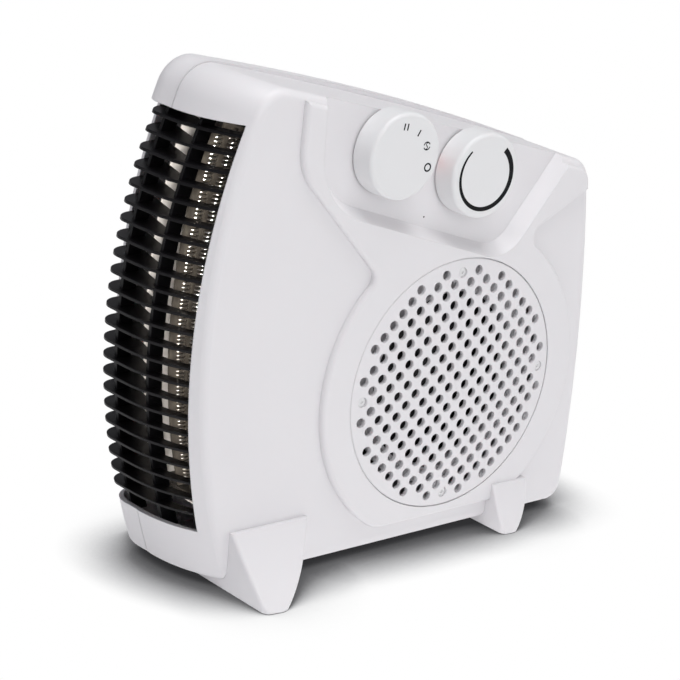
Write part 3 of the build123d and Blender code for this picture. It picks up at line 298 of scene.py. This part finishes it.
def lens_material():
    """Red clear plastic lit from behind by the neon lamp."""
    surface = Surface("lamp_lens", Roughness=0.18, Transmission_Weight=0.5, IOR=1.49, Coat_Weight=0.4)
    glow = surface.noise(300)
    surface.into("Base Color", surface.ramp(glow, (0.3, (0.75, 0.03, 0.02)), (0.7, (0.9, 0.08, 0.05))))
    surface.into("Emission Color", surface.ramp(glow, (0.3, (1.0, 0.10, 0.06)), (0.7, (1.0, 0.2, 0.12))))
    surface.shader.inputs["Emission Strength"].default_value = LAMP_GLOW
    surface.relief((surface.noise(900), 0.00003))
    return surface.material


def glass_material():
    surface = Surface("lamp_glass", Roughness=0.05, Transmission_Weight=0.9, IOR=1.5)
    glow = surface.noise(260)
    surface.into("Base Color", surface.ramp(glow, (0.3, (0.95, 0.62, 0.5)), (0.7, (1.0, 0.75, 0.65))))
    surface.relief((glow, 0.00005))
    return surface.material


def print_material():
    """Black pad-printed ink: almost flat, with tiny pinholes and a soft sheen."""
    surface = Surface("printed_ink", Specular_IOR_Level=0.12)
    pinholes = surface.noise(2400, detail=2)
    black = surface.ramp(pinholes, (0.3, (0.003, 0.003, 0.004)), (0.85, (0.012, 0.012, 0.014)))
    surface.into("Base Color", black)
    surface.into("Roughness", surface.between(pinholes, 0.4, 0.6))
    surface.relief((pinholes, 0.000006))
    return surface.material


def floor_material():
    """Pale studio paper. Its shadow is a painted shadow, drawn from how closely the heater stands over it,
    and isn't cast. To every ray but the camera's it also glows a dim grey, a painted bounce light.
    """
    surface = Surface("studio_floor", Specular_IOR_Level=0.0, Roughness=0.9)
    fibres = surface.noise(60, detail=4)
    paper = surface.mixed(fibres, (0.93, 0.93, 0.93), (0.95, 0.95, 0.95))
    # The camera sees only emission: white paper, with the painted shadow near the heater.
    seen = surface.add("ShaderNodeLightPath").outputs["Is Camera Ray"]
    closeness = surface.add("ShaderNodeAmbientOcclusion", samples=16)
    closeness.inputs["Distance"].default_value = PAINTED_SHADOW_REACH
    shadow = surface.ramp(
        closeness.outputs["AO"],
        (0.2, (0.03, 0.03, 0.032)), (0.5, (0.14, 0.14, 0.145)),
        (0.75, (0.55, 0.55, 0.56)), (0.97, (1.0, 1.0, 1.0)),
    )
    surface.into("Base Color", surface.mixed(seen, paper, (0, 0, 0)))
    # Painted shadow for the camera, and a dim painted glow for every other ray.
    surface.into("Emission Color", surface.mixed(seen, (0.2, 0.2, 0.2), shadow))
    surface.shader.inputs["Emission Strength"].default_value = 1.0
    surface.relief((fibres, 0.0001))
    return surface.material


slot_materials = {
    "casing": casing_material(),
    "knob": knob_material(),
    "rivet": rivet_material(),
    "grille": grille_material(),
    "duct": duct_material(),
    "wheel": wheel_material(),
    "shield": shield_material(),
    "mica": mica_material(),
    "wire": wire_material(),
    "steel": metal("turned_steel", (0.62, 0.62, 0.63), (0.38, 0.36, 0.34), 0.32, 700, (1, 6, 6)),
    "laminations": lamination_material(),
    "winding": winding_material(),
    "zinc": metal("zinc_plate", (0.66, 0.66, 0.68), (0.5, 0.47, 0.38), 0.34, 500),
    "bronze": metal("sintered_bronze", (0.6, 0.42, 0.22), (0.33, 0.2, 0.1), 0.45, 1500),
    "switch_body": switch_material(),
    "lens": lens_material(),
    "lamp_glass": glass_material(),
    "terminal": terminal_material(),
    "cable": cable_material(),
}
for part in frame["record"]["subparts"]:
    mesh = frame["nodes"][part["node"]].data
    mesh.materials.clear()
    mesh.materials.append(slot_materials[part["material_slot"]])


# ---------------------------------------------------------------- pieces
def piece_from(name, mesh_builder, material, body):
    """Links a new mesh piece that rides on a body."""
    mesh = bpy.data.meshes.new(name)
    builder = bmesh.new()
    mesh_builder(builder)
    bmesh.ops.recalc_face_normals(builder, faces=builder.faces[:])
    builder.to_mesh(mesh)
    builder.free()
    mesh.materials.append(material)
    piece = bpy.data.objects.new(name, mesh)
    bpy.context.scene.collection.objects.link(piece)
    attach(piece, body)
    return piece


def add_strip(builder, inner, outer, x, depth):
    """A raised strip between two rows of (y, z) points, standing on the plane at x."""
    rows = []
    for height in (x - depth, x + depth):
        rows.append([builder.verts.new((height, *point)) for point in inner])
        rows.append([builder.verts.new((height, *point)) for point in outer])
    low_in, low_out, high_in, high_out = rows
    for here in range(len(inner) - 1):
        there = here + 1
        sides = ((low_in, low_out), (high_in, high_out), (low_in, high_in), (low_out, high_out))
        for first, second in sides:
            builder.faces.new((first[here], first[there], second[there], second[here]))
    for end in (0, -1):
        builder.faces.new((low_in[end], low_out[end], high_out[end], high_in[end]))


def around(centre, radius, angle):
    """A point at an angle in degrees from +Y about a centre in the side plane."""
    return (
        centre[0] + radius * math.cos(math.radians(angle)),
        centre[1] + radius * math.sin(math.radians(angle)),
    )


def knob_face(node):
    """Centre in the side plane, front plane and radius of a knob, in metres."""
    low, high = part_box(node)
    return ((low.y + high.y) / 2, (low.z + high.z) / 2), high.x, (high.y - low.y) / 2


INK = 0.05 * MM
INK_STROKE = 0.68 * MM
ink = print_material()

# Each mark of the selector is placed by its share of the knob's radius and its angle from +Y.
OFF_AT, OFF_INNER, OFF_OUTER = (0.72, -25), 1.3 * MM, 2.0 * MM
FAN_AT, FAN_INNER, FAN_OUTER = (0.61, 18), 1.5 * MM, 1.95 * MM
FAN_FROM, FAN_TO = 20, 165
BLADE_OFFSET, BLADE_INNER, BLADE_OUTER = 0.75 * MM, 0.45 * MM, 0.8 * MM
BLADE_AT, BLADE_FROM, BLADE_TO = 70, 60, 270
RING_STEPS, FAN_STEPS, BLADE_STEPS = 32, 20, 16
ONE_AT, ONE_LENGTH, ONE_TILT = (0.6, 57), 3.1 * MM, 58
TWO_AT, TWO_LENGTH, TWO_TILT = (0.68, 95), 3.0 * MM, 80
TWO_OFFSET, TWO_DIRECTION = 0.95 * MM, -8    # from the pair's middle to either stroke
WEDGE_INNER, WEDGE_OUTER = (0.765, 0.69), (0.8, 0.825)    # shares of the radius, from start to end
WEDGE_ANGLES, WEDGE_EASE, WEDGE_STEPS = (128, 407), 0.6, 96
DOT_PLACE, DOT_RADIUS = (25.4 * MM, 14.5 * MM, 155.7 * MM), 0.38 * MM
DOT_HEIGHT, DOT_WIDTH = 0.4, 1.3    # shares of its radius out of the recess floor and along it


def add_arc(builder, centre, radii, angles, x, steps, ease=1.0):
    """An arc whose inner and outer radii change from one end to the other, sooner when ease is below 1."""
    inner, outer = [], []
    for step in range(steps + 1):
        share = step / steps
        angle = angles[0] + (angles[1] - angles[0]) * share
        low, high = (first + (last - first) * share**ease for first, last in radii)
        inner.append(around(centre, low, angle))
        outer.append(around(centre, high, angle))
    add_strip(builder, inner, outer, x, INK)


def add_stroke(builder, centre, length, tilt, x):
    """A straight stroke of ink, tilted from +Y by an angle in degrees."""
    along = Vector((math.cos(math.radians(tilt)), math.sin(math.radians(tilt))))
    across = Vector((-along.y, along.x)) * INK_STROKE / 2
    start, end = Vector(centre) - along * length / 2, Vector(centre) + along * length / 2
    inner = [tuple(start - across), tuple(end - across)]
    outer = [tuple(start + across), tuple(end + across)]
    add_strip(builder, inner, outer, x, INK)


def add_ring(builder, centre, inner, outer, angles, x, steps):
    """An arc of even width."""
    add_arc(builder, centre, ((inner, inner), (outer, outer)), angles, x, steps)


def selector_marks(builder):
    """A ring for off, a small fan, one stroke and two strokes."""
    centre, x, radius = knob_face("selector_knob")

    def placed(share, angle):
        return around(centre, share * radius, angle)

    add_ring(builder, placed(*OFF_AT), OFF_INNER, OFF_OUTER, (0, 360), x, RING_STEPS)
    fan = placed(*FAN_AT)
    for turn in (0, 180):
        add_ring(builder, fan, FAN_INNER, FAN_OUTER, (turn + FAN_FROM, turn + FAN_TO), x, FAN_STEPS)
        blade = around(fan, BLADE_OFFSET, turn + BLADE_AT)
        angles = (turn + BLADE_FROM, turn + BLADE_TO)
        add_ring(builder, blade, BLADE_INNER, BLADE_OUTER, angles, x, BLADE_STEPS)
    add_stroke(builder, placed(*ONE_AT), ONE_LENGTH, ONE_TILT, x)
    pair = placed(*TWO_AT)
    for side in (-1, 1):
        add_stroke(builder, around(pair, side * TWO_OFFSET, TWO_DIRECTION), TWO_LENGTH, TWO_TILT, x)


def thermostat_marks(builder):
    """A wedge that grows round the dial."""
    centre, x, radius = knob_face("thermostat_knob")
    radii = [tuple(share * radius for share in edge) for edge in (WEDGE_INNER, WEDGE_OUTER)]
    add_arc(builder, centre, radii, WEDGE_ANGLES, x, WEDGE_STEPS, WEDGE_EASE)


def recess_mark(builder):
    """The little raised pointer dot on the recess floor below the knobs."""
    centre = Vector(DOT_PLACE)
    bmesh.ops.create_uvsphere(builder, u_segments=16, v_segments=8, radius=DOT_RADIUS)
    for vertex in builder.verts:
        vertex.co = centre + Vector((vertex.co.x * DOT_HEIGHT, vertex.co.y * DOT_WIDTH, vertex.co.z))


piece_from("selector_marks", selector_marks, ink, "selector")
piece_from("thermostat_marks", thermostat_marks, ink, "thermostat_dial")
piece_from("recess_mark", recess_mark, slot_materials["duct"], "casing")


# ---------------------------------------------------------------- heating element
WIRE_RADIUS = 0.28 * MM
WIRE_PITCH = 1.8 * MM
WIRE_STEPS = 12
WIRE_SIDES = 6
LOOP_HALF_WIDTH = 1.7 * MM
LOOP_DEPTH = 4 * MM
LOOP_SETBACK = 3.5 * MM    # from the front strip's edge
LOOP_SQUARENESS = 0.5      # 1 is a round loop
BOARD_XS = (-5 * MM, 6 * MM, 17 * MM)
BOARD_THICKNESS = 1.4 * MM
BOARD_DEPTH = 12 * MM
BOARD_STEPS = 40
BOARD_REACH = 281 * MM
NOSE_Y, NOSE_Z = 183.4 * MM, 107.5 * MM    # axis of the casing's round front
board_low, board_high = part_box("heating_coils")


def board_front(z):
    """The y of the front strip's curved edge at a height; the CAD boards end further back."""
    return NOSE_Y - math.sqrt(BOARD_REACH**2 - (z - NOSE_Z) ** 2)


def add_rings(builder, rings):
    """A closed solid through matching rings of points, with a flat face at either end."""
    rows = [[builder.verts.new(point) for point in ring] for ring in rings]
    for first, second in zip(rows, rows[1:]):
        for here in range(len(first)):
            after = (here + 1) % len(first)
            builder.faces.new((first[here], first[after], second[after], second[here]))
    builder.faces.new(rows[0])
    builder.faces.new(rows[-1])


def add_tube(builder, points, radius, sides):
    """A round wire through a row of points, closed at both ends."""
    rings = []
    for number, point in enumerate(points):
        along = points[min(number + 1, len(points) - 1)] - points[max(number - 1, 0)]
        turn = along.to_track_quat("Z", "X")
        angles = [2 * math.pi * side / sides for side in range(sides)]
        rings.append([point + turn @ Vector((math.cos(a), math.sin(a), 0)) * radius for a in angles])
    add_rings(builder, rings)


def squared(value):
    """Pushes a sine or cosine towards its limits, so that a loop's corners fill out."""
    return math.copysign(abs(value) ** LOOP_SQUARENESS, value)


def element_wires(builder):
    """Fine resistance wire in small loops about the front of each upright board."""
    steps = int((board_high.z - board_low.z) / WIRE_PITCH) * WIRE_STEPS
    for across in BOARD_XS:
        points = []
        for step in range(steps):
            z = board_low.z + WIRE_PITCH * step / WIRE_STEPS
            angle = 2 * math.pi * step / WIRE_STEPS
            x = across + LOOP_HALF_WIDTH * squared(math.sin(angle))
            y = board_front(z) + LOOP_SETBACK + LOOP_DEPTH * (0.5 - 0.5 * squared(math.cos(angle)))
            points.append(Vector((x, y, z)))
        add_tube(builder, points, WIRE_RADIUS, WIRE_SIDES)


def front_board(builder):
    """A front strip of the far board, which reaches nearly to the slats. The CAD board has no such strip."""
    x, half = BOARD_XS[0], BOARD_THICKNESS / 2
    rows = []
    for step in range(BOARD_STEPS + 1):
        z = board_low.z + (board_high.z - board_low.z) * step / BOARD_STEPS
        front, back = board_front(z), board_front(z) + BOARD_DEPTH
        rows.append([(x - half, front, z), (x + half, front, z), (x + half, back, z), (x - half, back, z)])
    add_rings(builder, rows)


wires = piece_from("element_wires", element_wires, slot_materials["wire"], "casing")
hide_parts("heating_coils")
board = piece_from("element_front_board", front_board, slot_materials["mica"], "casing")


# ---------------------------------------------------------------- outlet grille
SLAT_COUNT = 23
SLAT_PITCH = 7.56 * MM
SLAT_THICKNESS = 1.2 * MM
SLAT_RADIUS = 262 * MM
SLAT_CENTRE_Z = 104 * MM
SLAT_CORNER = 9 * MM
SLAT_END_DEPTH, SLAT_WAIST_DEPTH, SLAT_NEAR_DEPTH = 16 * MM, 6.5 * MM, 5.5 * MM
SLAT_LEAN = 0.6 * MM    # the near end's front stands this much further back
TOP_SLAT_DROP = 9.2 * MM    # from the top of the CAD grille down to the first slat
FRONT_STEPS, CORNER_STEPS, BACK_STEPS = 12, 8, 8
WAIST_X = 2 * MM
SEAM_X, NOSE_ROLL = -10 * MM, 67.4 * MM
OUTLET_BOTTOM, OUTLET_TOP = 27.4 * MM, 207.4 * MM
OUTLET_NEAR_BOTTOM_X, OUTLET_NEAR_TOP_X = 22.3 * MM, 26.3 * MM
RIB_XS = (-19.5 * MM, 2.5 * MM)
RIB_WIDTH, RIB_DEPTH, RIB_SETBACK = 1.8 * MM, 7 * MM, 3 * MM
RIB_STEPS = 48
grille_low, grille_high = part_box("outlet_grille")
slat_centre_y = grille_low.y + SLAT_RADIUS


def slat_front(x):
    """Radius of the slats' front about their side-view centre, falling back towards the control side."""
    if x < SEAM_X:
        return SLAT_RADIUS
    return SLAT_RADIUS - NOSE_ROLL + math.sqrt(NOSE_ROLL**2 - (x - SEAM_X) ** 2)


def on_arc(x, radius, z):
    """A point of the grille from its radius about the side-view centre."""
    return (x, slat_centre_y - math.sqrt(radius**2 - (z - SLAT_CENTRE_Z) ** 2), z)


def slat_outline(near_x):
    """Plan outline of one slat as (x, radius). Its back starts deep at the far end and nears the front."""
    end_x = grille_low.x
    corner_x = end_x + SLAT_CORNER
    outline = []
    for step in range(FRONT_STEPS + 1):
        x = near_x + (corner_x - near_x) * step / FRONT_STEPS
        outline.append((x, slat_front(x) - SLAT_LEAN * (x - corner_x) / (near_x - corner_x)))
    for step in range(1, CORNER_STEPS + 1):
        angle = math.radians(90 + 90 * step / CORNER_STEPS)
        radius = SLAT_RADIUS - SLAT_CORNER * (1 - math.sin(angle))
        outline.append((corner_x + SLAT_CORNER * math.cos(angle), radius))
    outline.append((end_x, SLAT_RADIUS - SLAT_END_DEPTH))
    for step in range(BACK_STEPS + 1):
        x = WAIST_X + (near_x - WAIST_X) * step / BACK_STEPS
        depth = SLAT_WAIST_DEPTH + (SLAT_NEAR_DEPTH - SLAT_WAIST_DEPTH) * step / BACK_STEPS
        outline.append((x, slat_front(x) - depth))
    return outline


def grille(builder):
    """All slats, shallower at the back than the CAD grille's, and the two upright ribs."""
    top_slat = grille_high.z - TOP_SLAT_DROP
    for index in range(SLAT_COUNT):
        middle = top_slat - index * SLAT_PITCH
        lean = (middle - OUTLET_BOTTOM) / (OUTLET_TOP - OUTLET_BOTTOM)
        near_x = OUTLET_NEAR_BOTTOM_X + lean * (OUTLET_NEAR_TOP_X - OUTLET_NEAR_BOTTOM_X)
        outline = slat_outline(near_x)
        levels = (middle - SLAT_THICKNESS / 2, middle + SLAT_THICKNESS / 2)
        add_rings(builder, [[on_arc(x, radius, z) for x, radius in outline] for z in levels])
    for rib_x in RIB_XS:
        front = slat_front(rib_x) - RIB_SETBACK
        rows = []
        for step in range(RIB_STEPS + 1):
            z = grille_low.z + (grille_high.z - grille_low.z) * step / RIB_STEPS
            corners = ((-1, front), (1, front), (1, front - RIB_DEPTH), (-1, front - RIB_DEPTH))
            rows.append([on_arc(rib_x + side * RIB_WIDTH / 2, radius, z) for side, radius in corners])
        add_rings(builder, rows)


grille_piece = piece_from("outlet_slats", grille, slot_materials["grille"], "casing")
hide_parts("outlet_grille")


# ---------------------------------------------------------------- studio
WORLD_LIGHT, WORLD_TURN = 0.44, -50
WORLD_DIM_SIDE = (0.62, 0.62, 0.66, 1)
WHITE = (1, 1, 1, 1)
AIM = (0, 0, 0.1)
KEY_PLACE, KEY_SIZE, KEY_POWER = (1.5, -0.45, 0.95), 0.9, 5.8
OVERHEAD_PLACE, OVERHEAD_SIZE, OVERHEAD_POWER = (0.25, 0.0, 1.8), 1.2, 19
OUTLET_LIGHT_PLACE, OUTLET_LIGHT_AIM = (0.87, -0.75, 0.13), (-0.02, -0.1, 0.11)
OUTLET_LIGHT_SIZE, OUTLET_LIGHT_POWER = 0.25, 30
FLOOR_HALF_SIDE, FLOOR_DROP = 6, 0.2 * MM
CAMERA_SENSOR = 36


def area_light(name, place, aim, size, power):
    light = bpy.data.lights.new(name, "AREA")
    light.shape = "DISK"
    light.size = size
    light.energy = power
    lamp = bpy.data.objects.new(name, light)
    lamp.location = place
    lamp.rotation_mode = "QUATERNION"
    lamp.rotation_quaternion = (Vector(aim) - Vector(place)).to_track_quat("-Z", "Y")
    bpy.context.scene.collection.objects.link(lamp)
    return lamp


def surroundings():
    """White as the camera sees it, and a soft grey gradient as it lights the heater."""
    world = bpy.data.worlds.new("studio_air")
    world.use_nodes = True
    nodes, links = world.node_tree.nodes, world.node_tree.links
    lit, seen = nodes["Background"], nodes.new("ShaderNodeBackground")
    lit.inputs["Strength"].default_value = WORLD_LIGHT
    gradient = nodes.new("ShaderNodeTexGradient")
    turned = nodes.new("ShaderNodeMapping")
    turned.inputs["Rotation"].default_value = (0, 0, math.radians(WORLD_TURN))
    tones = nodes.new("ShaderNodeValToRGB")
    tones.color_ramp.elements[0].color = WORLD_DIM_SIDE
    tones.color_ramp.elements[1].color = WHITE
    links.new(nodes.new("ShaderNodeTexCoord").outputs["Generated"], turned.inputs["Vector"])
    links.new(turned.outputs["Vector"], gradient.inputs["Vector"])
    links.new(gradient.outputs["Fac"], tones.inputs["Fac"])
    links.new(tones.outputs["Color"], lit.inputs["Color"])
    seen.inputs["Color"].default_value = WHITE
    choice = nodes.new("ShaderNodeMixShader")
    links.new(nodes.new("ShaderNodeLightPath").outputs["Is Camera Ray"], choice.inputs["Fac"])
    links.new(lit.outputs["Background"], choice.inputs[1])
    links.new(seen.outputs["Background"], choice.inputs[2])
    links.new(choice.outputs["Shader"], nodes["World Output"].inputs["Surface"])
    return world


def lights():
    """A key light from the side, one overhead, and one that reaches only what lies behind the slats."""
    area_light("key", KEY_PLACE, AIM, KEY_SIZE, KEY_POWER)
    area_light("overhead", OVERHEAD_PLACE, AIM, OVERHEAD_SIZE, OVERHEAD_POWER)
    inside = bpy.data.collections.new("inside_the_outlet")
    for piece in (frame["nodes"]["heat_shield"], frame["nodes"]["element_frame"], wires, board):
        inside.objects.link(piece)
    into_outlet = area_light(
        "into_the_outlet", OUTLET_LIGHT_PLACE, OUTLET_LIGHT_AIM, OUTLET_LIGHT_SIZE, OUTLET_LIGHT_POWER,
    )
    into_outlet.light_linking.receiver_collection = inside


def add_floor():
    """A wide sheet just under the feet."""
    mesh = bpy.data.meshes.new("floor")
    builder = bmesh.new()
    bmesh.ops.create_grid(builder, x_segments=8, y_segments=8, size=FLOOR_HALF_SIDE)
    builder.to_mesh(mesh)
    builder.free()
    mesh.materials.append(floor_material())
    floor = bpy.data.objects.new("floor", mesh)
    floor.location.z = -FLOOR_DROP
    bpy.context.scene.collection.objects.link(floor)


def camera(target, azimuth, elevation, distance, roll, lens):
    """A camera round the target; azimuth 0 looks along +Y. Roll turns it about its own line of sight."""
    turn, rise = math.radians(azimuth), math.radians(elevation)
    back = Vector((math.sin(turn) * math.cos(rise), -math.cos(turn) * math.cos(rise), math.sin(rise)))
    data = bpy.data.cameras.new("camera")
    data.lens = lens
    data.sensor_width = CAMERA_SENSOR
    eye = bpy.data.objects.new("camera", data)
    place = Matrix.Translation(Vector(target) + back * distance)
    aim = (-back).to_track_quat("-Z", "Y").to_matrix().to_4x4()
    eye.matrix_world = place @ aim @ Matrix.Rotation(math.radians(roll), 4, "Z")
    bpy.context.scene.collection.objects.link(eye)
    bpy.context.scene.camera = eye


bpy.context.scene.view_settings.view_transform = "Standard"
bpy.context.scene.world = surroundings()
lights()
add_floor()
camera(target=(0, -0.0065, 0.0936), azimuth=49.66, elevation=18.78, distance=1.145, roll=4.57, lens=134.7)
